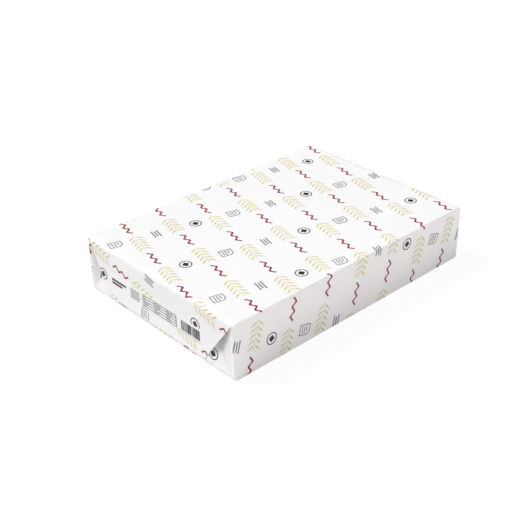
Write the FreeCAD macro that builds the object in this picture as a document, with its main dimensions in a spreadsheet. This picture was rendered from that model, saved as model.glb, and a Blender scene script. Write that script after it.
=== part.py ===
"""A wrapped ream of office paper, in millimetres.

A stack of A4 sheets lies flat in a paper wrapper. The wrapper runs round the width of the stack,
laps on itself along the underside, and is folded shut at both ends like a parcel: the two side
tucks go in first, the lower flap comes up over them, and the top flap comes down last and is
glued. A printed label is stuck on the front end, across the top flap.

X is the width of the sheets, Y their length and Z is up. The origin is the centre of the
underside. The front end, with the label, faces -Y.
"""
import FreeCAD, Part
import os
import Sketcher
from FreeCAD import Vector

SIZES = {
    # the paper inside
    "sheet_width": 210.0,
    "sheet_length": 297.0,
    "stack_height": 58.2,
    # how far the wrapper stands off the stack
    "side_slack": 0.5,
    "end_fold_depth": 3.7,
    "wrapper_gauge": 0.2,
    # folds of the wrapper over the edges of the stack
    "end_fold_radius": 3.0,
    "corner_radius": 1.0,
    "corner_margin": 1.3,
    # top flap of each end: how thick it stands, how far it hangs, and how far its free edge
    # stops short of the two sides
    "flap_relief": 0.3,
    "top_flap_drop": 54.0,
    "top_flap_left_inset": 31.0,
    "top_flap_right_inset": 40.0,
    # lower flap of each end
    "lower_flap_rise": 45.0,
    "lower_flap_left_inset": 32.0,
    "lower_flap_right_inset": 36.0,
    # how deep the side tucks and the lower flap lie where the two flaps cross
    "tuck_depth": 3.2,
    # lap seam along the underside, measured from the middle
    "lap_offset": 35.0,
    "lap_step": 0.2,
    "lap_run_out": 6.0,
    # label on the front end
    "label_width": 138.0,
    "label_height": 15.5,
    "label_gauge": 0.1,
    "label_left": 33.0,
    "label_drop": 25.5,
}

PACK_WIDTH = "(Sizes.sheet_width + 2 * Sizes.side_slack)"
TUBE_LENGTH = "(Sizes.sheet_length + 2 * Sizes.end_fold_depth)"
PACK_HEIGHT = "(Sizes.stack_height + 2 * Sizes.wrapper_gauge)"
TUBE_END = f"({TUBE_LENGTH} / 2)"
FLAP_FACE = f"({TUBE_END} + Sizes.flap_relief)"
FREE_EDGE = f"({PACK_HEIGHT} - Sizes.top_flap_drop)"
HALF_WIDTH = f"({PACK_WIDTH} / 2)"
FOLD_START = f"({HALF_WIDTH} - Sizes.corner_margin)"

ORIGIN = (-1, 1)
STRAIGHT = 1e-6

doc = FreeCAD.newDocument("ream")


def fill_sheet():
    """Puts every driving size in the spreadsheet, one to a row."""
    sheet = doc.addObject("Spreadsheet::Sheet", "Sizes")
    for row, (name, value) in enumerate(SIZES.items(), start=1):
        sheet.set(f"A{row}", name)
        sheet.set(f"B{row}", str(value))
        sheet.setAlias(f"B{row}", name)
    doc.recompute()


def new_body(name):
    return doc.addObject("PartDesign::Body", name)


def new_sketch(body, name, role, offset=None):
    """A sketch on one of the body's origin planes, pushed out along its normal by offset."""
    sketch = body.newObject("Sketcher::SketchObject", name)
    plane = next(item for item in body.Origin.OriginFeatures if item.Role == role)
    sketch.AttachmentSupport = [(plane, "")]
    sketch.MapMode = "FlatFace"
    if offset:
        sketch.setExpression("AttachmentOffset.Base.z", offset)
    return sketch


def draw_outline(sketch, corners):
    """A closed outline of straight lines. Each corner is a pair of expressions."""
    spots = [find_spot(sketch, corner) for corner in corners]
    count = len(corners)
    for index, spot in enumerate(spots):
        sketch.addGeometry(Part.LineSegment(spot, spots[(index + 1) % count]))
    for index in range(count):
        sketch.addConstraint(Sketcher.Constraint("Coincident", index, 2, (index + 1) % count, 1))
    for index, corner in enumerate(corners):
        place_point(sketch, (index, 1), corner)


def find_spot(sketch, corner):
    """The values of two expressions, across and up from the origin."""
    return Vector(*(sketch.evalExpression(term) for term in corner))


def place_point(sketch, end, corner):
    """Ties a point of a sketch to two expressions, across and up from the origin."""
    spot = find_spot(sketch, corner)
    for kind, term, value in zip(("DistanceX", "DistanceY"), corner, spot, strict=False):
        number = sketch.addConstraint(Sketcher.Constraint(kind, *ORIGIN, *end, value))
        sketch.setExpression(f"Constraints[{number}]", term)


def fillet_edges(body, name, base, chosen, radius):
    """Rounds the edges of the base feature that chosen() picks."""
    doc.recompute()
    names = [f"Edge{i}" for i, edge in enumerate(base.Shape.Edges, start=1) if chosen(edge)]
    fillet = body.newObject("PartDesign::Fillet", name)
    fillet.Base = (base, names)
    fillet.setExpression("Radius", radius)
    doc.recompute()
    return fillet


def runs_along(edge, axis):
    """Whether a straight edge lies along the axis."""
    straight = isinstance(edge.Curve, (Part.Line, Part.LineSegment))
    return straight and edge.tangentAt(edge.FirstParameter).cross(axis).Length < STRAIGHT


def make_pack():
    """The stack in its wrapper, with the side tucks and the lap seam, before the top flaps."""
    body = new_body("Pack")
    section = new_sketch(body, "CrossSection", "XZ_Plane")
    draw_outline(section, [
        (f"-{HALF_WIDTH}", "0"), (HALF_WIDTH, "0"),
        (HALF_WIDTH, PACK_HEIGHT), (f"-{HALF_WIDTH}", PACK_HEIGHT),
    ])
    tube = body.newObject("PartDesign::Pad", "Tube")
    tube.Profile = section
    tube.SideType = "Symmetric"
    tube.setExpression("Length", TUBE_LENGTH)
    across, along = Vector(1, 0, 0), Vector(0, 1, 0)
    folded = fillet_edges(
        body, "EndFolds", tube, lambda edge: runs_along(edge, across), "Sizes.end_fold_radius"
    )
    half = folded.Shape.BoundBox.XMax

    def borders_side(edge):
        return abs(abs(edge.CenterOfMass.x) - half) < STRAIGHT

    fillet_edges(body, "LongEdges", folded, borders_side, "Sizes.corner_radius")
    for end, face in (("Front", TUBE_END), ("Back", f"-{TUBE_END}")):
        make_tuck(body, f"{end}Left", face, "-", "Sizes.top_flap_left_inset",
                  "Sizes.lower_flap_left_inset")
        make_tuck(body, f"{end}Right", face, "", "Sizes.top_flap_right_inset",
                  "Sizes.lower_flap_right_inset")
    make_lap_seam(body)
    return body


def make_tuck(body, name, face, side, top_inset, lower_inset):
    """The hollow beside the top flap. The side tuck goes in from the corner of the pack and the
    lower flap from the bottom fold. Both are deepest where the flaps' slanted edges cross."""
    corner = f"{side}{FOLD_START}"
    top_slope = f"(({top_inset} - Sizes.corner_margin) / Sizes.top_flap_drop)"
    lower_slope = f"(({lower_inset} - Sizes.corner_margin) / Sizes.lower_flap_rise)"
    height = f"({PACK_HEIGHT} * {top_slope} / ({top_slope} + {lower_slope}))"
    crossing = (f"{side}({FOLD_START} - {lower_slope} * {height})", height)
    foot = (f"{side}({FOLD_START} - {top_slope} * {PACK_HEIGHT})", "0")
    sketch = new_sketch(body, f"{name}TuckOutline", "XZ_Plane", face)
    draw_outline(sketch, [(corner, PACK_HEIGHT), (corner, "0"), foot])
    inward = "-" if face == TUBE_END else "+"
    deep = new_sketch(body, f"{name}TuckPoint", "XZ_Plane", f"{face} {inward} Sizes.tuck_depth")
    deep.addGeometry(Part.Point(find_spot(deep, crossing)))
    place_point(deep, (0, 1), crossing)
    hollow = body.newObject("PartDesign::SubtractiveLoft", f"{name}Tuck")
    hollow.Profile = sketch
    hollow.Sections = [(deep, [""])]
    hollow.Ruled = True
    doc.recompute()


def make_lap_seam(body):
    """The edge of the wrapper's outer layer on the underside, and the run-out beside it."""
    sketch = new_sketch(body, "LapOutline", "XZ_Plane")
    lap_end = "(Sizes.lap_offset + Sizes.lap_run_out)"
    draw_outline(sketch, [
        ("Sizes.lap_offset", "0"), (lap_end, "0"), ("Sizes.lap_offset", "Sizes.lap_step"),
    ])
    seam = body.newObject("PartDesign::Pocket", "LapSeam")
    seam.Profile = sketch
    seam.SideType = "Symmetric"
    seam.setExpression("Length", TUBE_LENGTH)


def make_flap(name, face):
    """A top flap, folded over the end of the pack with a round bend and cut slanting in."""
    body = new_body(name)
    sketch = new_sketch(body, f"{name}Outline", "XZ_Plane", face)
    draw_outline(sketch, [
        (f"-{FOLD_START}", PACK_HEIGHT), (FOLD_START, PACK_HEIGHT),
        (f"({HALF_WIDTH} - Sizes.top_flap_right_inset)", FREE_EDGE),
        (f"-({HALF_WIDTH} - Sizes.top_flap_left_inset)", FREE_EDGE),
    ])
    flap = body.newObject("PartDesign::Pad", f"{name}Layer")
    flap.Profile = sketch
    flap.Reversed = face == FLAP_FACE
    flap.setExpression("Length", "Sizes.end_fold_radius + Sizes.flap_relief")
    doc.recompute()
    box = flap.Shape.BoundBox
    outside = box.YMin if face == FLAP_FACE else box.YMax

    def is_fold(edge):
        middle = edge.CenterOfMass
        return abs(middle.z - box.ZMax) < STRAIGHT and abs(middle.y - outside) < STRAIGHT

    fillet_edges(body, f"{name}Fold", flap, is_fold, "Sizes.end_fold_radius")
    return body


def make_ream():
    """The closed pack: one solid, because a sealed wrapper can't be seen into."""
    pack = make_pack()
    flaps = [make_flap("FrontFlap", FLAP_FACE), make_flap("BackFlap", f"-{FLAP_FACE}")]
    ream = doc.addObject("Part::MultiFuse", "Ream")
    ream.Shapes = [pack, *flaps]
    ream.Refine = True
    ream.Label = "wrapped_ream"
    return ream


def make_label():
    """The paper label, flat on the front flap."""
    body = new_body("Label")
    sketch = new_sketch(body, "LabelOutline", "XZ_Plane", FLAP_FACE)
    left = f"(Sizes.label_left - {HALF_WIDTH})"
    right = f"({left} + Sizes.label_width)"
    top = f"({PACK_HEIGHT} - Sizes.label_drop)"
    bottom = f"({top} - Sizes.label_height)"
    draw_outline(sketch, [(left, bottom), (right, bottom), (right, top), (left, top)])
    paper = body.newObject("PartDesign::Pad", "LabelPaper")
    paper.Profile = sketch
    paper.setExpression("Length", "Sizes.label_gauge")
    body.Label = "end_label"
    return body


def check_parts(parts):
    """Stops if any object of the document failed or a part has no valid shape."""
    doc.recompute()
    for item in doc.Objects:
        if {"Invalid", "Error"} & set(item.State):
            raise RuntimeError(f"{item.Label}: {', '.join(item.State)}")
    for part in parts:
        if part.Shape.isNull() or not part.Shape.isValid():
            raise RuntimeError(f"{part.Label} has no valid shape")


def write_parts(parts):
    os.makedirs("parts", exist_ok=True)
    for part in parts:
        shape = part.Shape
        shape.exportStep(f"parts/{part.Label}.step")
        box = shape.optimalBoundingBox(False)
        size = f"{box.XLength:.2f} x {box.YLength:.2f} x {box.ZLength:.2f}"
        print(f"{part.Label}: {len(shape.Solids)} solid, {size} mm, {shape.Volume / 1e3:.1f} cm3")


fill_sheet()
parts = [make_ream(), make_label()]
for part in parts:
    # the label makes the pack longer at the front, and the origin is the middle of the whole
    part.setExpression("Placement.Base.y", "Sizes.label_gauge / 2")
check_parts(parts)
write_parts(parts)
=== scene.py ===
# %% [markdown]
# # A wrapped ream of paper
# A ream is a stack of office paper in a printed wrapper. The wrapper is one sheet: it runs round
# the width of the stack, laps on itself underneath, and is folded shut at both ends like a
# parcel. A white label is stuck on the front end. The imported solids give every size, so the
# first cell loads them, and what follows dresses them as paper.

# %% Load the frame
import math
import random
from collections import namedtuple

import bmesh
import bpy
from mathutils import Matrix, Vector, noise


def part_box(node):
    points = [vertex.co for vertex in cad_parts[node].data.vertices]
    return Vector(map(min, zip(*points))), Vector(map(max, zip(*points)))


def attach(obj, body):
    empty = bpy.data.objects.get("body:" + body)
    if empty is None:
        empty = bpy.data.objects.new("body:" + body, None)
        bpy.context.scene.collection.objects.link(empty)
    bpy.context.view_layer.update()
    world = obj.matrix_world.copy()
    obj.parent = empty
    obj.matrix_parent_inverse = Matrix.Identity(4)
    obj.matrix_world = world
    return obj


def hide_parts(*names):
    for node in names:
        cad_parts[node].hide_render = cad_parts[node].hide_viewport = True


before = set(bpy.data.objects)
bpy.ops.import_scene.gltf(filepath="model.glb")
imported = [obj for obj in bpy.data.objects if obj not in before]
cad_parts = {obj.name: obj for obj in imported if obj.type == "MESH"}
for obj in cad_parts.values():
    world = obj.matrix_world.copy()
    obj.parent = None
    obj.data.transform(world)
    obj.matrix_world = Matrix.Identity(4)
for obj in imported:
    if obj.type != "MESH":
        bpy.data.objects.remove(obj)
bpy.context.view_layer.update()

print("solids:", ", ".join(sorted(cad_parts)))

# %% [markdown]
# ## Sizes
# The frame is in metres. Lengths that the solids can't tell, such as the radius of a fold, are
# written in millimetres and turned into metres once. The front end faces -Y.

# %% Sizes of the pack
MM = 0.001
pack_low, pack_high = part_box("wrapped_ream")
label_low, label_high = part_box("end_label")
HALF_WIDTH = (pack_high.x - pack_low.x) / 2
HEIGHT = pack_high.z
MIDDLE_Y = (pack_low.y + pack_high.y) / 2
FLAP_RELIEF = 0.3 * MM
END_REACH = (pack_high.y - pack_low.y) / 2
TUBE_REACH = END_REACH - FLAP_RELIEF
FOLD_RADIUS = 3.0 * MM
EDGE_RADIUS = 1.0 * MM
CORNER_MARGIN = 1.3 * MM
QUARTER_TURN = math.pi / 2
# places nearer to each other than this count as one
SLACK = 1e-7
print(f"pack: {2e3 * HALF_WIDTH:.1f} x {2e3 * END_REACH:.1f} x {1e3 * HEIGHT:.1f} mm")

# %% Sizes of the flaps
TOP_DROP = 54.0 * MM
TOP_INSET = {-1: 31.0 * MM, 1: 40.0 * MM}
LOWER_RISE = 45.0 * MM
LOWER_INSET = {-1: 32.0 * MM, 1: 36.0 * MM}
TUCK_DEPTH = 3.2 * MM
TUCK_FADE = 12.0 * MM
TUCK_BEHIND = 0.2 * MM
LAP_OFFSET = 35.0 * MM
LAP_STEP = 0.2 * MM
# the step of the lap is this wide
LAP_EDGE = 0.05 * MM
LAP_RUN_OUT = 6.0 * MM
GAUGE = 0.12 * MM
DOUBLE_GAUGE = 0.28 * MM

# %% [markdown]
# ## The camera
# The camera comes first, so that every test picture is framed as the photograph is. It stands to
# the right of the labelled end and looks down on the pack. Its place is written the way a
# photographer would say it: a direction round the object, a height, a distance and a lens.

# %% Camera
AZIMUTH, ELEVATION, ROLL = math.radians(47.63), math.radians(30.61), math.radians(-0.88)
DISTANCE, LENS, SENSOR = 1.039, 71.23, 36.0
AIM_RIGHT, AIM_UP = -18.6 * MM, 12.56 * MM


def place_camera():
    back = Vector((
        math.sin(AZIMUTH) * math.cos(ELEVATION),
        -math.cos(AZIMUTH) * math.cos(ELEVATION),
        math.sin(ELEVATION),
    ))
    level = Vector((math.cos(AZIMUTH), math.sin(AZIMUTH), 0))
    upward = back.cross(level)
    right = level * math.cos(ROLL) + upward * math.sin(ROLL)
    up = upward * math.cos(ROLL) - level * math.sin(ROLL)
    data = bpy.data.cameras.new("camera")
    data.lens, data.sensor_width = LENS, SENSOR
    camera = bpy.data.objects.new("camera", data)
    turn = Matrix((right, up, back)).transposed().to_4x4()
    spot = right * AIM_RIGHT + up * AIM_UP + back * DISTANCE
    camera.matrix_world = Matrix.Translation(spot) @ turn
    bpy.context.collection.objects.link(camera)
    bpy.context.scene.camera = camera
    return camera


print("camera at", [round(v, 3) for v in place_camera().location])

# %% [markdown]
# ## Folding a flat sheet
# Everything on a wrapper is made flat: the sheet is cut and printed before it is folded. So the
# flaps and the print are drawn flat here too, and one function carries each spot of the flat
# sheet to its place on the pack. `across` runs round the girth from the middle of the top, and
# `along` runs the length of the pack. Each fold is a quarter turn with a small radius.

# %% One bend
def over_edge(distance, flat, radius):
    """How far out, how far down and how much turned a spot is, that lies this far along a panel
    that is flat and then bends down."""
    if distance <= flat:
        return distance, 0.0, 0.0
    turn = (distance - flat) / radius
    if turn <= QUARTER_TURN:
        return flat + radius * math.sin(turn), radius * (1 - math.cos(turn)), turn
    return flat + radius, radius + distance - flat - radius * QUARTER_TURN, QUARTER_TURN


def smooth(share):
    """An even step from 0 to 1."""
    share = min(max(share, 0.0), 1.0)
    return share * share * (3 - 2 * share)


# %% Where the panels of the flat sheet begin and end
EDGE_ARC = EDGE_RADIUS * QUARTER_TURN
FOLD_ARC = FOLD_RADIUS * QUARTER_TURN
TOP_FLAT = HALF_WIDTH - EDGE_RADIUS
SIDE_START = TOP_FLAT + EDGE_ARC
SIDE_END = SIDE_START + HEIGHT - 2 * EDGE_RADIUS
BOTTOM_START = SIDE_END + EDGE_ARC
TOP_LENGTH = END_REACH - FOLD_RADIUS
SIDE_LENGTH = TUBE_REACH - EDGE_RADIUS
BOTTOM_LENGTH = TUBE_REACH - FOLD_RADIUS
BOTTOM_SPAN = TOP_FLAT + LAP_OFFSET
FREE_EDGE = TOP_LENGTH + FOLD_ARC + TOP_DROP - FOLD_RADIUS


# how much of a hollow's depth is rounded, how much of it the lower flap swells out again, and how
# soon it does so
ROUND_SHARE = 0.4
SWELL, SWELL_RATE = 0.75, 0.8
# rates of change that are complete within a third or an eighth of the way to the crossing
WITHIN_THIRD, WITHIN_EIGHTH = 3.0, 8.0
# the stretch in the middle of an end over which the left crossing's height turns into the right's
MIDDLE_BLEND = 140.0 * MM
# how much of its painted shade the paper beside a top flap has at its foot
LOW_SHADE = 0.1


def find_crossing(side):
    """How far in from the corner, and how high, the slanting sides of the two flaps cross."""
    top_slope = (TOP_INSET[side] - CORNER_MARGIN) / TOP_DROP
    lower_slope = (LOWER_INSET[side] - CORNER_MARGIN) / LOWER_RISE
    height = HEIGHT * top_slope / (top_slope + lower_slope)
    return lower_slope * height, height


CROSSING = {side: find_crossing(side) for side in (-1, 1)}


def tuck_shares(x, z):
    """How near a spot is to the crossing, by its distance from the corner and by its height."""
    side = -1 if x < 0 else 1
    blend = smooth(0.5 + x / MIDDLE_BLEND)
    height = CROSSING[-1][1] * (1 - blend) + CROSSING[1][1] * blend
    return (HALF_WIDTH - CORNER_MARGIN - abs(x)) / CROSSING[side][0], z / height


def hollow(share):
    """How deep the end lies at a share of the way to the crossing."""
    share = min(max(share, 0.0), 1.0)
    bulge = math.sin(share * QUARTER_TURN)
    return TUCK_DEPTH * ((1 - ROUND_SHARE) * share + ROUND_SHARE * bulge)


def tuck_depth(x, z):
    """How far the side tuck is behind the corner. Where it nears the slanting side of the lower
    flap it goes in a little further, because it lies behind the flap."""
    inward, upward = tuck_shares(x, z)
    near_flap = smooth(WITHIN_THIRD * (inward - upward) + 1)
    behind = TUCK_BEHIND * near_flap * smooth(WITHIN_EIGHTH * inward)
    sunk = hollow(min(inward, upward)) + behind * smooth(z / FOLD_RADIUS)
    return sunk * smooth((HEIGHT - z) / TUCK_FADE)


def lower_flap_depth(x, z):
    """The lower flap sinks towards the crossing, and swells out again away from its crease."""
    inward, upward = tuck_shares(x, z)
    return hollow(upward) * (1 - SWELL * smooth(SWELL_RATE * (inward - upward)))


def painted_flap_shade(x, z):
    """How much painted shade, from 0 to 1, the paper beside a top flap gets. It is a painted shadow
    of the top flap on the tuck's hollow and on the lower flap, strongest at its top, under the flap."""
    inward, upward = tuck_shares(x, z)
    ends = smooth(z / FOLD_RADIUS) * smooth((HEIGHT - z) / FOLD_RADIUS)
    return smooth(WITHIN_THIRD * inward) * (LOW_SHADE + (1 - LOW_SHADE) * smooth(z / HEIGHT)) * ends


def lap_height(x):
    """The step of the lap on the underside, and its run-out."""
    past = x - LAP_OFFSET
    if 0 < past < LAP_RUN_OUT:
        return LAP_STEP * (1 - past / LAP_RUN_OUT)
    return 0.0


# %% The fold of the whole sheet
def fold(across, along, lift=0.0):
    """Where a spot of the flat sheet lies on the pack, lifted off it a little."""
    side, end = math.copysign(1, across), math.copysign(1, along)
    out, down, turn = over_edge(abs(across), TOP_FLAT, EDGE_RADIUS)
    panel = "top" if turn == 0 else "edge"
    if abs(across) > SIDE_START - SLACK:
        panel = "side"
    if abs(across) > SIDE_END + SLACK:
        below, inward, more = over_edge(abs(across) - SIDE_END, 0.0, EDGE_RADIUS)
        out, down, turn = HALF_WIDTH - inward, HEIGHT - EDGE_RADIUS + below, QUARTER_TURN + more
        panel = "edge"
    if abs(across) > BOTTOM_START - SLACK:
        panel = "bottom"
    if panel == "top":
        reach, fallen, bend = over_edge(abs(along), TOP_LENGTH, FOLD_RADIUS)
        spot = Vector((side * out, end * reach, HEIGHT - fallen))
        normal = Vector((0, end * math.sin(bend), math.cos(bend)))
    elif panel == "side":
        reach, inward, bend = over_edge(abs(along), SIDE_LENGTH, EDGE_RADIUS)
        x, z = HALF_WIDTH - inward, HEIGHT - down
        spot = Vector((side * x, end * (reach - tuck_depth(x, z)), z))
        normal = Vector((side * math.cos(bend), end * math.sin(bend), 0))
    elif panel == "bottom":
        reach, risen, bend = over_edge(abs(along), BOTTOM_LENGTH, FOLD_RADIUS)
        x = side * out
        sunk = lower_flap_depth(x, risen) if bend else 0.0
        spot = Vector((x, end * (reach - sunk), risen + lap_height(x)))
        normal = Vector((0, end * math.sin(bend), -math.cos(bend)))
    else:
        spot = Vector((side * out, along, HEIGHT - down))
        normal = Vector((side * math.sin(turn), 0, math.cos(turn)))
    return spot + normal * lift + Vector((0, MIDDLE_Y, 0))


print(f"flat sheet: {2e3 * (BOTTOM_START + BOTTOM_SPAN):.0f} mm round, {2e3 * FREE_EDGE:.0f} mm long")

# %% [markdown]
# ## Paper is never quite flat
# A wrapper is pulled tight over the edges and stays a little loose between them. The same gentle
# field of bumps moves every piece, so that a flap, the print on it and the label stay together.
# It fades to nothing at the underside, which stays flat on the table.

# %% A field of gentle bumps
# how far each set of bumps moves the paper, and how many of them there are to a metre
LOOSE = ((0.16 * MM, 11.0), (0.05 * MM, 38.0))
FIELD_PLACE = Vector((3.7, 1.9, 8.2))
FIELD_SEED = 7
# noise_vector takes its start from the clock unless it is seeded, and then no two runs are alike
noise.seed_set(FIELD_SEED)


def settle(bm):
    """Moves the points of a mesh by the field."""
    for vert in bm.verts:
        rise = smooth(vert.co.z / HEIGHT)
        for reach, pitch in LOOSE:
            push = noise.noise_vector(vert.co * pitch + FIELD_PLACE) * reach
            vert.co += Vector((push.x, push.y, push.z)) * rise


# %% Turning a bmesh into a piece
SHARP_ANGLE = math.radians(40)


def thicken(bm, gauge):
    """Gives a sheet its thickness, inwards, so that its outer face stays where it is."""
    bmesh.ops.solidify(bm, geom=bm.faces[:], thickness=gauge)
    bmesh.ops.recalc_face_normals(bm, faces=bm.faces)


def finish_piece(name, bm, material, replaced):
    """Makes the object, lets it ride on the pack and hides the solid that it stands for."""
    mesh = bpy.data.meshes.new(name)
    bm.to_mesh(mesh)
    bm.free()
    mesh.shade_smooth()
    mesh.set_sharp_from_angle(angle=SHARP_ANGLE)
    piece = bpy.data.objects.new(name, mesh)
    bpy.context.collection.objects.link(piece)
    mesh.materials.append(material)
    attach(piece, "root")
    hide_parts(replaced)
    print(f"{name}: {len(mesh.polygons)} faces")
    return piece


# %% [markdown]
# ## Paper and ink
# The wrapper is a smooth coated paper: nearly white, with a faint cloudiness, a fine grain and a
# soft gloss that varies a little. Ink on it has the same grain. All patterns read Object
# coordinates in metres, so a pattern's scale is one over its size. Beside the top flaps the paper
# gets a painted shade: its colour is darkened where the top flap shades the tucks and the lower
# flap. The body of the pack and the flaps carry that painted shade as an attribute, which is
# nothing all over a top flap. A piece without the attribute reads it as nothing.

# %% Helpers for materials
# most of a noise pattern lies between these two values
NOISE_LOW, NOISE_HIGH = 0.3, 0.7


def new_material(name):
    material = bpy.data.materials.new(name)
    material.use_nodes = True
    tree = material.node_tree
    return material, tree, tree.nodes["Principled BSDF"]


def add_noise(tree, scale, detail=2.0):
    """A cloud pattern on the piece's own coordinates."""
    place = tree.nodes.new("ShaderNodeTexCoord")
    cloud = tree.nodes.new("ShaderNodeTexNoise")
    cloud.inputs["Scale"].default_value = scale
    cloud.inputs["Detail"].default_value = detail
    tree.links.new(place.outputs["Object"], cloud.inputs["Vector"])
    return cloud.outputs["Fac"]


def spread(tree, value, low, high):
    """Maps the middle of a noise pattern to the range from low to high."""
    ramp = tree.nodes.new("ShaderNodeMapRange")
    ramp.inputs["From Min"].default_value = NOISE_LOW
    ramp.inputs["From Max"].default_value = NOISE_HIGH
    ramp.inputs["To Min"].default_value = low
    ramp.inputs["To Max"].default_value = high
    tree.links.new(value, ramp.inputs["Value"])
    return ramp.outputs["Result"]


def blend_colours(tree, share, first, second):
    mix = tree.nodes.new("ShaderNodeMix")
    mix.data_type = "RGBA"
    mix.inputs["A"].default_value = (*first, 1)
    mix.inputs["B"].default_value = (*second, 1)
    tree.links.new(share, mix.inputs["Factor"])
    return mix.outputs["Result"]


# %% Paper
# the painted shade of the paper beside the top flaps, as a share of its own colour
PAINTED_SHADE = 0.74
# how many clouds, patches of sheen and grains there are to a metre
CLOUDS, SHEEN_PATCHES, GRAINS = 24.0, 60.0, 900.0
GRAIN_DETAIL, GRAIN_STRENGTH = 4.0, 0.35
PAPER_SPECULAR = 0.4


def make_paper(name, light, dark, gloss, grain_height):
    """Paper between two shades, with roughness from gloss[0] to gloss[1] and a fine grain."""
    material, tree, shader = new_material(name)
    clouds = spread(tree, add_noise(tree, CLOUDS), 0.0, 1.0)
    unshaded = blend_colours(tree, clouds, light, dark)
    # the attribute is a painted shade: it darkens the colour where the top flaps shade the paper
    shade_layer = tree.nodes.new("ShaderNodeAttribute")
    shade_layer.attribute_name = "painted_flap_shade"
    colour = tree.nodes.new("ShaderNodeMix")
    colour.data_type, colour.blend_type = "RGBA", "MULTIPLY"
    colour.inputs["B"].default_value = (PAINTED_SHADE, PAINTED_SHADE, PAINTED_SHADE, 1)
    tree.links.new(shade_layer.outputs["Fac"], colour.inputs["Factor"])
    tree.links.new(unshaded, colour.inputs["A"])
    tree.links.new(colour.outputs["Result"], shader.inputs["Base Color"])
    sheen = spread(tree, add_noise(tree, SHEEN_PATCHES), *gloss)
    tree.links.new(sheen, shader.inputs["Roughness"])
    shader.inputs["Specular IOR Level"].default_value = PAPER_SPECULAR
    grain = tree.nodes.new("ShaderNodeBump")
    grain.inputs["Strength"].default_value = GRAIN_STRENGTH
    grain.inputs["Distance"].default_value = grain_height
    tree.links.new(add_noise(tree, GRAINS, GRAIN_DETAIL), grain.inputs["Height"])
    tree.links.new(grain.outputs["Normal"], shader.inputs["Normal"])
    return material


wrapper_paper = make_paper("wrapper_paper", (0.955, 0.955, 0.955), (0.935, 0.935, 0.94),
                           (0.42, 0.52), 0.04 * MM)
label_paper = make_paper("label_paper", (0.965, 0.965, 0.96), (0.95, 0.95, 0.945),
                         (0.62, 0.72), 0.03 * MM)

# %% Inks
INKS = {
    "gold": ((0.75, 0.65, 0.31), (0.70, 0.60, 0.28)),
    "red": ((0.33, 0.030, 0.042), (0.29, 0.026, 0.036)),
    "grey": ((0.26, 0.26, 0.27), (0.22, 0.22, 0.23)),
    "black": ((0.03, 0.03, 0.032), (0.022, 0.022, 0.024)),
}
ink_materials = {
    name: make_paper(f"{name}_ink", *shades, (0.36, 0.46), 0.03 * MM)
    for name, shades in INKS.items()
}
print("inks:", ", ".join(ink_materials))

# %% [markdown]
# ## The body of the pack
# The stack in its wrapper is a box with rounded edges. A cube is cut into a net of small faces,
# with the cuts close together where an edge will bend. Each point then moves to the rounded
# form: the nearest spot of a smaller core, plus one edge radius. The side tucks at both ends are
# pushed in, and the lap under the pack gets its step. One more cut on each side follows the
# crease where a tuck goes in behind the lower flap.

# %% Where the cuts go
FACE_STEP = 6.0 * MM
COLUMN_STEP = 3.0 * MM
RISE_STEP = 2.0 * MM
BEND_STEPS = {FOLD_RADIUS: 5, EDGE_RADIUS: 3}


def cut_places(reach, bends, step=FACE_STEP):
    """Places from -reach to reach: even in the middle, and close at the bends near both ends."""
    inner = reach - max(bends)
    count = max(2, round(2 * inner / step))
    places = [inner * (2 * i / count - 1) for i in range(count + 1)]
    for radius in bends:
        steps = BEND_STEPS[radius]
        near = [reach - radius * i / steps for i in range(1, steps + 1)]
        places += near + [-place for place in near]
    return sorted({round(place, 7) for place in places})


def cut(bm, place, normal):
    """Cuts a whole mesh by a plane through a place."""
    bmesh.ops.bisect_plane(bm, geom=bm.verts[:] + bm.edges[:] + bm.faces[:], dist=SLACK,
                           plane_co=place, plane_no=normal)


def cut_across(bm, axis, place):
    """Cuts a whole mesh by a plane square to an axis."""
    normal = Vector((axis == 0, axis == 1, axis == 2))
    cut(bm, normal * place, normal)


def cut_crease(bm, side):
    """Cuts the sharp box from the lower corner of its ends through the flaps' crossing."""
    inward, height = CROSSING[side]
    foot = Vector((side * (HALF_WIDTH - CORNER_MARGIN), 0, -HEIGHT / 2))
    cut(bm, foot, Vector((height, 0, side * inward)).normalized())


# %% The rounded form
CENTRE = Vector((0, MIDDLE_Y, HEIGHT / 2))


def hold(value, limit):
    return min(max(value, -limit), limit)


def round_off(spot):
    """Where a spot of the sharp box, measured from its centre, lies on the rounded one."""
    flat_y = hold(spot.y, TUBE_REACH - FOLD_RADIUS)
    flat_z = hold(spot.z, HEIGHT / 2 - FOLD_RADIUS)
    away = Vector((spot.y - flat_y, spot.z - flat_z))
    limit = FOLD_RADIUS - EDGE_RADIUS
    if away.length > limit:
        away = away.normalized() * limit
    core = Vector((hold(spot.x, HALF_WIDTH - EDGE_RADIUS), flat_y + away.x, flat_z + away.y))
    return core + (spot - core).normalized() * EDGE_RADIUS


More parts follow.
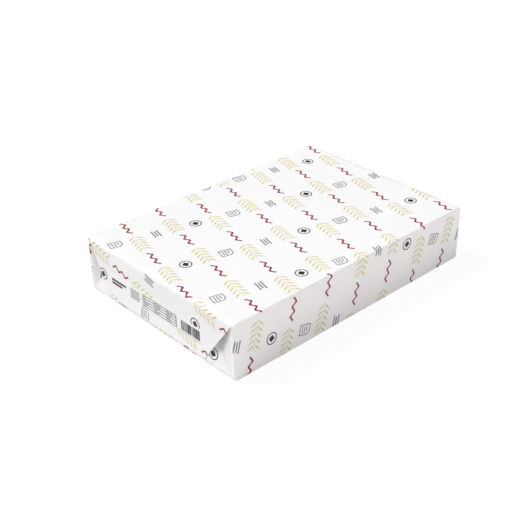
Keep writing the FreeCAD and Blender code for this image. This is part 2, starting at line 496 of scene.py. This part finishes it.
# %% Make the body
def make_body():
    bm = bmesh.new()
    bmesh.ops.create_cube(bm, size=1.0)
    size = Vector((2 * HALF_WIDTH, 2 * TUBE_REACH, HEIGHT))
    bmesh.ops.scale(bm, verts=bm.verts, vec=size)
    lap = (LAP_OFFSET, LAP_OFFSET + LAP_EDGE, LAP_OFFSET + LAP_RUN_OUT)
    for axis, places in enumerate((
        sorted([*cut_places(HALF_WIDTH, (EDGE_RADIUS,), COLUMN_STEP), *lap]),
        cut_places(TUBE_REACH, (FOLD_RADIUS, EDGE_RADIUS)),
        cut_places(HEIGHT / 2, (FOLD_RADIUS, EDGE_RADIUS), RISE_STEP),
    )):
        for place in places:
            cut_across(bm, axis, place)
    for side in (-1, 1):
        cut_crease(bm, side)
    shade_layer = bm.verts.layers.float.new("painted_flap_shade")
    for vert in bm.verts:
        on_end = abs(abs(vert.co.y) - TUBE_REACH) < SLACK
        below = abs(vert.co.z + HEIGHT / 2) < SLACK
        spot = CENTRE + round_off(vert.co)
        if on_end:
            # the ends get their painted shade beside the top flaps
            vert[shade_layer] = painted_flap_shade(spot.x, spot.z)
            spot.y -= math.copysign(tuck_depth(spot.x, spot.z), vert.co.y)
        if below:
            spot.z += lap_height(spot.x)
        vert.co = spot
    settle(bm)
    return finish_piece("wrapper", bm, wrapper_paper, "wrapped_ream")


make_body()

# %% [markdown]
# ## The flaps
# At each end the lower flap comes up first and the top flap comes down over it. Each is a sheet
# with slanting sides, cut flat and carried over its fold. It starts on the panel that it belongs
# to, a hair above it, so the seam doesn't show.

# %% Turn a sheet's faces outwards
def face_out(bm):
    """Turns each face of open sheets so that it looks away from the middle of the pack."""
    bm.normal_update()
    inward = [face for face in bm.faces if face.normal.dot(face.calc_center_median() - CENTRE) < 0]
    bmesh.ops.reverse_faces(bm, faces=inward)


# %% The two kinds of flap
def from_top(x):
    """A spot x of a top flap, as a distance round the girth from the middle of the top."""
    return x


def from_bottom(x):
    """A spot x of a lower flap, as a distance round the girth from the middle of the top."""
    return math.copysign(BOTTOM_START + TOP_FLAT - abs(x), x)


# start is where the sheet begins on its own panel, panel is how long that panel is up to the
# fold, and opened turns x on the end face into a distance round the girth
Flap = namedtuple("Flap", "word start panel drop insets opened gauge")
SEAM_OVERLAP = 2.0 * MM
TOP_FLAP = Flap("top", TOP_LENGTH - SEAM_OVERLAP, TOP_LENGTH, TOP_DROP, TOP_INSET, from_top,
                DOUBLE_GAUGE)
LOWER_FLAP = Flap("lower", BOTTOM_LENGTH, BOTTOM_LENGTH, LOWER_RISE, LOWER_INSET, from_bottom,
                  GAUGE)

# %% Cut a flap and fold it
SEAM_LIFT = 0.02 * MM
FLAP_COLUMNS, FLAP_ROWS = 40, 26


def slanted(side, share, insets):
    """Where a flap's slanting side is, at a share of the flap's length."""
    return side * (HALF_WIDTH - CORNER_MARGIN - (insets[side] - CORNER_MARGIN) * share)


def make_flap(flap, end, word):
    """A sheet from its own panel to past the fold of one end."""
    length = flap.panel + FOLD_ARC + flap.drop - FOLD_RADIUS
    bm = bmesh.new()
    bmesh.ops.create_grid(bm, x_segments=FLAP_COLUMNS, y_segments=FLAP_ROWS, size=0.5)
    shade_layer = bm.verts.layers.float.new("painted_flap_shade")
    for vert in bm.verts:
        along = flap.start + (vert.co.y + 0.5) * (length - flap.start)
        share = over_edge(along, flap.panel, FOLD_RADIUS)[1] / flap.drop
        left, right = (slanted(side, share, flap.insets) for side in (-1, 1))
        x = left + (vert.co.x + 0.5) * (right - left)
        vert.co = fold(flap.opened(x), end * along, SEAM_LIFT)
        # a lower flap gets the painted shade of the top flap's shadow, a top flap none
        vert[shade_layer] = painted_flap_shade(x, vert.co.z) if flap is LOWER_FLAP else 0.0
    settle(bm)
    face_out(bm)
    thicken(bm, flap.gauge)
    return finish_piece(f"{flap.word}_flap_{word}", bm, wrapper_paper, "wrapped_ream")


for end, word in ((-1, "front"), (1, "back")):
    make_flap(TOP_FLAP, end, word)
    make_flap(LOWER_FLAP, end, word)

# %% [markdown]
# ## The print
# The wrapper is printed all over with small motifs in slanting rows: gold sprigs and red ribbons
# take turns in one row, and grey and black signs stand in the next. The motifs are drawn on the
# flat sheet as thin shapes of ink, cut along the folds, and carried to the pack by the same fold
# as the paper. What would fall inside a fold is left out.

# %% Simple shapes of ink
LEAF_SIDES, LEAF_TAPER = 14, 2.4


def place_at(x, y, width=1.0, height=1.0, turn=0.0):
    return (Matrix.Translation((x, y, 0)) @ Matrix.Rotation(turn, 4, "Z")
            @ Matrix.Diagonal((width, height, 1, 1)))


def add_bar(bm, x, y, width, height, turn=0.0):
    """A straight bar with its middle at x, y."""
    bmesh.ops.create_grid(bm, x_segments=1, y_segments=1, size=0.5,
                          matrix=place_at(x, y, width, height, turn))


def add_leaf(bm, x, y, length, width, turn):
    """A leaf that starts at x, y and points along the turn."""
    leaf = bmesh.ops.create_circle(bm, cap_ends=True, segments=LEAF_SIDES, radius=0.5)["verts"]
    for vert in leaf:
        vert.co.y *= 1 - LEAF_TAPER * vert.co.x ** 2
        vert.co.x += 0.5
    bmesh.ops.transform(bm, matrix=place_at(x, y, length, width, turn), verts=leaf)


def add_outline(bm, faces, stroke):
    """Keeps only a rim of some faces."""
    bmesh.ops.inset_region(bm, faces=faces, thickness=stroke, use_even_offset=True,
                           use_boundary=True)
    bmesh.ops.delete(bm, geom=faces, context="FACES")


# %% Motifs, in millimetres
def draw_sprig(bm):
    stem, stem_width, off_stem = 31, 0.6, 0.7
    leaf, leaf_width, lean = 9.0, 1.8, math.radians(50)
    first, gap, pairs = -13.5, 5.8, 5
    add_bar(bm, 0, 0, stem, stem_width)
    for i in range(pairs):
        for side in (-1, 1):
            add_leaf(bm, first + gap * i, side * off_stem, leaf, leaf_width, side * lean)


def draw_ribbon(bm):
    length, width, swing, half_waves, steps = 24, 2.4, 1.8, 5, 24
    ribbon = bmesh.ops.create_grid(bm, x_segments=steps, y_segments=1, size=0.5)["verts"]
    for vert in ribbon:
        wave = swing * math.sin(vert.co.x * half_waves * math.pi)
        vert.co = Vector((vert.co.x * length, vert.co.y * width + wave, 0))


def draw_page(bm):
    page_width, page_height, cut_corner, stroke = 11, 13.5, 3.4, 1.0
    left, top, line_gap, line_height = -3.5, 2.6, 2.8, 1.1
    page = bmesh.ops.create_grid(bm, x_segments=1, y_segments=1, size=0.5,
                                 matrix=place_at(0, 0, page_width, page_height))["verts"]
    corner = max(page, key=lambda vert: vert.co.x + vert.co.y)
    bmesh.ops.bevel(bm, geom=[corner], offset=cut_corner, segments=1, profile=0.5,
                    affect="VERTICES", material=-1)
    add_outline(bm, bm.faces[:], stroke)
    for row, width in enumerate((5.0, 7.0, 7.0)):
        add_bar(bm, left + width / 2, top - line_gap * row, width, line_height)


def draw_ring(bm):
    radius, sides, stroke, diamond = 6.2, 28, 1.0, 5.2
    bmesh.ops.create_circle(bm, cap_ends=True, segments=sides, radius=radius)
    add_outline(bm, bm.faces[:], stroke)
    add_bar(bm, 0, 0, diamond, diamond, math.pi / 4)


def draw_stack(bm):
    gap, thick = 2.9, 1.5
    for row, width in enumerate((13.0, 10.0, 13.0)):
        add_bar(bm, 0, gap - gap * row, width, thick)


# %% Which spots of the flat sheet show on the pack
def shows(across, along):
    side, end, far = math.copysign(1, across), math.copysign(1, along), abs(along)
    if abs(across) < TOP_FLAT:
        share = (far - TOP_LENGTH - FOLD_ARC + FOLD_RADIUS) / TOP_DROP
        return share < 0 or abs(across) < side * slanted(side, share, TOP_INSET) and share < 1
    if SIDE_START < abs(across) < SIDE_END:
        x = HALF_WIDTH - EDGE_RADIUS - (far - SIDE_LENGTH - EDGE_ARC)
        z = HEIGHT - EDGE_RADIUS - (abs(across) - SIDE_START)
        inward, upward = tuck_shares(side * x, z)
        downward = (HEIGHT - z) / (HEIGHT - CROSSING[side][1])
        return far < SIDE_LENGTH + EDGE_ARC or inward < min(upward, downward)
    if abs(across) < BOTTOM_START:
        return far < SIDE_LENGTH - EDGE_ARC
    inward = abs(across) - BOTTOM_START
    if inward > TOP_FLAT - side * LAP_OFFSET:
        return False
    x = TOP_FLAT - inward
    share = (far - BOTTOM_LENGTH - FOLD_ARC + FOLD_RADIUS) / LOWER_RISE
    return share < 0 or x < side * slanted(side, share, LOWER_INSET) and share < 1


# %% Cut a motif where the sheet bends
PRINT_BEND_STEPS = 5
NET_LINES = 60


def bend_places():
    """The places across and along the flat sheet where a print has to be cut."""
    steps = [i / PRINT_BEND_STEPS for i in range(PRINT_BEND_STEPS + 1)]
    across = [TOP_FLAT + EDGE_ARC * i for i in steps] + [SIDE_END + EDGE_ARC * i for i in steps]
    lap = BOTTOM_START + TOP_FLAT - LAP_OFFSET
    across = [*across, *[-place for place in across], lap, lap - LAP_RUN_OUT,
              -(BOTTOM_START + TOP_FLAT + LAP_OFFSET)]
    along = [start + arc * i for i in steps for start, arc in (
        (TOP_LENGTH, FOLD_ARC), (BOTTOM_LENGTH, FOLD_ARC), (SIDE_LENGTH, EDGE_ARC))]
    along.append(FREE_EDGE)
    along += [-place for place in along]
    net = [FACE_STEP * i for i in range(-NET_LINES, NET_LINES + 1)]
    return sorted(across + net), sorted(along + net)


ACROSS_CUTS, ALONG_CUTS = bend_places()


def trim_lines():
    """The slanting sides of flaps and tucks on the flat sheet, each by two spots of it."""
    lines = []
    for side in (-1, 1):
        for flap in (TOP_FLAP, LOWER_FLAP):
            first = flap.panel + FOLD_ARC - FOLD_RADIUS
            lines.append([(flap.opened(slanted(side, share, flap.insets)), first + share * flap.drop)
                          for share in (0, 1)])
        corner = SIDE_LENGTH + EDGE_ARC + CORNER_MARGIN - EDGE_RADIUS
        inward, height = CROSSING[side]
        for z in (0, HEIGHT):
            lines.append([(side * (SIDE_START + HEIGHT - EDGE_RADIUS - z), corner),
                          (side * (SIDE_START + HEIGHT - EDGE_RADIUS - height), corner + inward)])
    return lines


TRIM_LINES = trim_lines()


def cut_motif(bm):
    """Cuts one flat motif at every fold that runs through it, and drops what doesn't show."""
    for axis, places in ((0, ACROSS_CUTS), (1, ALONG_CUTS)):
        low, high = (pick(vert.co[axis] for vert in bm.verts) for pick in (min, max))
        for place in places:
            if low < place < high:
                cut_across(bm, axis, place)
    if max(abs(vert.co.y) for vert in bm.verts) > BOTTOM_LENGTH:
        end = math.copysign(1, next(iter(bm.verts)).co.y)
        for first, second in TRIM_LINES:
            way = Vector((second[0] - first[0], end * (second[1] - first[1]), 0)).normalized()
            cut(bm, (first[0], end * first[1], 0), (way.y, -way.x, 0))
    hidden = [face for face in bm.faces if not shows(*face.calc_center_median()[:2])]
    bmesh.ops.delete(bm, geom=hidden, context="FACES")


# %% Lay the motifs out in rows
TILT = math.radians(-14)
ALONG_ROW, BETWEEN_ROWS = 33.0, 21.0
ROWS, COLUMNS = range(-22, 23), range(-14, 15)
SIGNS = (("black", draw_ring), ("grey", draw_page), ("grey", draw_stack))
SIGN_SHIFT = 8.0
SHIFT_ALONG_ROW, SHIFT_ROWS = -45.0, 33.0
MOTIF_REACH = 20.0 * MM
INK_RISE = 0.05 * MM
INK_LIFT = SEAM_LIFT + INK_RISE
INK_FILM = 0.04 * MM


def all_motifs():
    """Every motif of the sheet: its ink, how it is drawn, and its place in a slanting row. The
    two shifts keep the round signs off the folds, where they would look bent."""
    for row in ROWS:
        for column in COLUMNS:
            if row % 2:
                if column % 2:
                    continue
                ink, draw = SIGNS[(column // 2 + row // 2) % len(SIGNS)]
                shift = SIGN_SHIFT
            else:
                ink, draw = ("red", draw_ribbon) if column % 2 else ("gold", draw_sprig)
                shift = 0.0 if row % 4 else 0.5 * ALONG_ROW
            x = column * ALONG_ROW + shift + SHIFT_ALONG_ROW
            yield ink, draw, x, row * BETWEEN_ROWS + SHIFT_ROWS


def print_sheet():
    sheets = {ink: bmesh.new() for ink in INKS}
    lean = Matrix.Rotation(TILT, 4, "Z")
    for ink, draw, x, y in all_motifs():
        spot = lean @ Vector((x, y, 0)) * MM
        if abs(spot.x) > BOTTOM_START + BOTTOM_SPAN or abs(spot.y) > FREE_EDGE + MOTIF_REACH:
            continue
        bm = bmesh.new()
        draw(bm)
        bmesh.ops.transform(bm, matrix=Matrix.Translation(spot) @ lean @ Matrix.Scale(MM, 4),
                            verts=bm.verts)
        cut_motif(bm)
        for vert in bm.verts:
            vert.co = fold(vert.co.x, vert.co.y, INK_LIFT)
        settle(bm)
        motif = bpy.data.meshes.new("motif")
        bm.to_mesh(motif)
        bm.free()
        sheets[ink].from_mesh(motif)
        bpy.data.meshes.remove(motif)
    for ink, bm in sheets.items():
        face_out(bm)
        thicken(bm, INK_FILM)
        bmesh.ops.triangulate(bm, faces=bm.faces)
        finish_piece(f"print_{ink}", bm, ink_materials[ink], "wrapped_ream")


print_sheet()

# %% [markdown]
# ## The label
# A white paper label is stuck flat on the front flap. It carries plain bars where a maker would
# print words, thin rules between them, and a block of upright bars at the right.

# %% Label sheet
LABEL_LEFT, LABEL_RIGHT = label_low.x, label_high.x
LABEL_GAUGE = label_high.y - label_low.y
LABEL_CORNER, CORNER_STEPS = 1.2 * MM, 3
LABEL_WIDTH, LABEL_HEIGHT = LABEL_RIGHT - LABEL_LEFT, label_high.z - label_low.z


def on_front(x, z, lift):
    """A spot of the front end face, as the fold of the top flap puts it there."""
    return fold(x, -(TOP_LENGTH + FOLD_ARC + HEIGHT - z - FOLD_RADIUS), SEAM_LIFT + lift)


def lay_on_front(bm, lift):
    """Carries a sheet that is drawn flat, from the label's lower left corner, to the front."""
    for vert in bm.verts:
        vert.co = on_front(LABEL_LEFT + vert.co.x, label_low.z + vert.co.y, lift)
    settle(bm)
    face_out(bm)


def make_label():
    bm = bmesh.new()
    matrix = place_at(LABEL_WIDTH / 2, LABEL_HEIGHT / 2, LABEL_WIDTH, LABEL_HEIGHT)
    sheet = bmesh.ops.create_grid(bm, x_segments=1, y_segments=1, size=0.5, matrix=matrix)["verts"]
    bmesh.ops.bevel(bm, geom=sheet, offset=LABEL_CORNER, segments=CORNER_STEPS, profile=0.5,
                    affect="VERTICES", material=-1)
    for axis, size in ((0, LABEL_WIDTH), (1, LABEL_HEIGHT)):
        for i in range(1, round(size / FACE_STEP)):
            cut_across(bm, axis, i * FACE_STEP)
    lay_on_front(bm, LABEL_GAUGE)
    thicken(bm, LABEL_GAUGE)
    return finish_piece("label", bm, label_paper, "end_label")


make_label()


# %% Label print
def label_ink(name, ink, bars):
    """Prints bars (left, bottom, width, height in mm from the label's lower left corner)."""
    bm = bmesh.new()
    for left, bottom, width, height in bars:
        count = max(1, round(width * MM / FACE_STEP))
        step = width / count
        for i in range(count):
            add_bar(bm, (left + (i + 0.5) * step) * MM, (bottom + height / 2) * MM, step * MM,
                    height * MM)
    bmesh.ops.remove_doubles(bm, verts=bm.verts, dist=SLACK)
    lay_on_front(bm, LABEL_GAUGE + INK_RISE)
    thicken(bm, INK_FILM)
    return finish_piece(name, bm, ink_materials[ink], "end_label")


BAR_WIDTHS, BAR_GAPS = (0.6, 0.9, 1.4, 2.1), (0.35, 0.45, 0.8)
BAR_SEED, WORD_SEED = 5, 11


def code_bars(left, bottom, width, height):
    """Upright bars of chance widths, from one fixed seed."""
    chance = random.Random(BAR_SEED)
    bars, x = [], 0.0
    while x < width - 2:
        wide = chance.choice(BAR_WIDTHS)
        bars.append((left + x, bottom, wide, height))
        x += wide + chance.choice(BAR_GAPS)
    return bars


dark_bars = [(3, 8.6, 22, 2.4), (3, 5.0, 16, 2.4)]
dark_bars += [(50, 1.6 + 3.0 * row, 49.4, 0.7) for row in range(5)] + [(99.4, 1.2, 0.9, 13.4)]
label_ink("label_dark", "black", dark_bars + code_bars(107, 2.6, 27, 10.4))
fine = random.Random(WORD_SEED)
words = [(32, 2.3 + 1.9 * row, fine.uniform(11, 16), 1.0) for row in range(6)]
words += [(51 + 17 * column, 2.9 + 3.0 * row, fine.uniform(4, 10), 0.9)
          for row in range(4) for column in range(3)]
words.append((101, 0.5, 35, 0.4))
label_ink("label_grey", "grey", words)

# %% [markdown]
# ## Light and floor
# A soft key lamp stands high in front and to the left, and a wide weak lamp fills the shaded side
# with a faintly warm light. With the even sky they light a level surface so that its colour comes
# out as it is written, and no side of the pack burns out. The key comes from the side of the
# tucks' creases, so the folds of the end show. The camera sees the floor and the sky as white,
# and the floor keeps a soft shadow.

# %% Stage
FLOOR_REACH = 4.0
FLOOR_DROP = 0.1 * MM
FLOOR_COLOUR, FLOOR_ROUGHNESS = (0.81, 0.79, 0.79), 0.9
# the camera sees the floor glow this brightly, and that much of what it sees is the glow
FLOOR_GLOW, GLOW_SHARE = 1.03, 0.92
# each lamp: name, direction towards it, strength, width in degrees, colour
LAMPS = (
    ("key", (-0.50, -0.34, 0.83), 3.3, 20, (1, 1, 1)),
    ("fill", (0.95, 0.0, 0.15), 1.65, 60, (1, 0.955, 0.96)),
)
SKY = 0.12


def make_floor():
    bm = bmesh.new()
    bmesh.ops.create_grid(bm, x_segments=1, y_segments=1, size=FLOOR_REACH)
    bmesh.ops.translate(bm, verts=bm.verts, vec=(0, 0, -FLOOR_DROP))
    mesh = bpy.data.meshes.new("floor")
    bm.to_mesh(mesh)
    bm.free()
    floor = bpy.data.objects.new("floor", mesh)
    bpy.context.collection.objects.link(floor)
    material, tree, shader = new_material("floor")
    shader.inputs["Base Color"].default_value = (*FLOOR_COLOUR, 1)
    shader.inputs["Roughness"].default_value = FLOOR_ROUGHNESS
    shader.inputs["Specular IOR Level"].default_value = 0.0
    seen = tree.nodes.new("ShaderNodeLightPath")
    glow = tree.nodes.new("ShaderNodeEmission")
    glow.inputs["Color"].default_value = (1, 1, 1, 1)
    glow.inputs["Strength"].default_value = FLOOR_GLOW
    both = tree.nodes.new("ShaderNodeMixShader")
    share = tree.nodes.new("ShaderNodeMath")
    share.operation = "MULTIPLY"
    share.inputs[1].default_value = GLOW_SHARE
    tree.links.new(seen.outputs["Is Camera Ray"], share.inputs[0])
    tree.links.new(share.outputs["Value"], both.inputs["Fac"])
    tree.links.new(shader.outputs["BSDF"], both.inputs[1])
    tree.links.new(glow.outputs["Emission"], both.inputs[2])
    tree.links.new(both.outputs["Shader"], tree.nodes["Material Output"].inputs["Surface"])
    mesh.materials.append(material)


def make_sky():
    world = bpy.context.scene.world or bpy.data.worlds.new("sky")
    bpy.context.scene.world = world
    world.use_nodes = True
    tree = world.node_tree
    tree.nodes.clear()
    seen = tree.nodes.new("ShaderNodeLightPath")
    either = tree.nodes.new("ShaderNodeMath")
    either.operation = "MAXIMUM"
    level = tree.nodes.new("ShaderNodeMapRange")
    level.inputs["To Min"].default_value = SKY
    level.inputs["To Max"].default_value = 1.0
    sky = tree.nodes.new("ShaderNodeBackground")
    sky.inputs["Color"].default_value = (1, 1, 1, 1)
    out = tree.nodes.new("ShaderNodeOutputWorld")
    tree.links.new(seen.outputs["Is Camera Ray"], either.inputs[0])
    tree.links.new(seen.outputs["Is Transmission Ray"], either.inputs[1])
    tree.links.new(either.outputs["Value"], level.inputs["Value"])
    tree.links.new(level.outputs["Result"], sky.inputs["Strength"])
    tree.links.new(sky.outputs["Background"], out.inputs["Surface"])


def make_lamps():
    for name, source, strength, width, colour in LAMPS:
        data = bpy.data.lights.new(name, "SUN")
        data.energy, data.angle, data.color = strength, math.radians(width), colour
        lamp = bpy.data.objects.new(name, data)
        lamp.rotation_mode = "QUATERNION"
        lamp.rotation_quaternion = Vector(source).to_track_quat("Z", "Y")
        bpy.context.collection.objects.link(lamp)


make_floor()
make_sky()
make_lamps()
bpy.context.scene.view_settings.view_transform = "Standard"
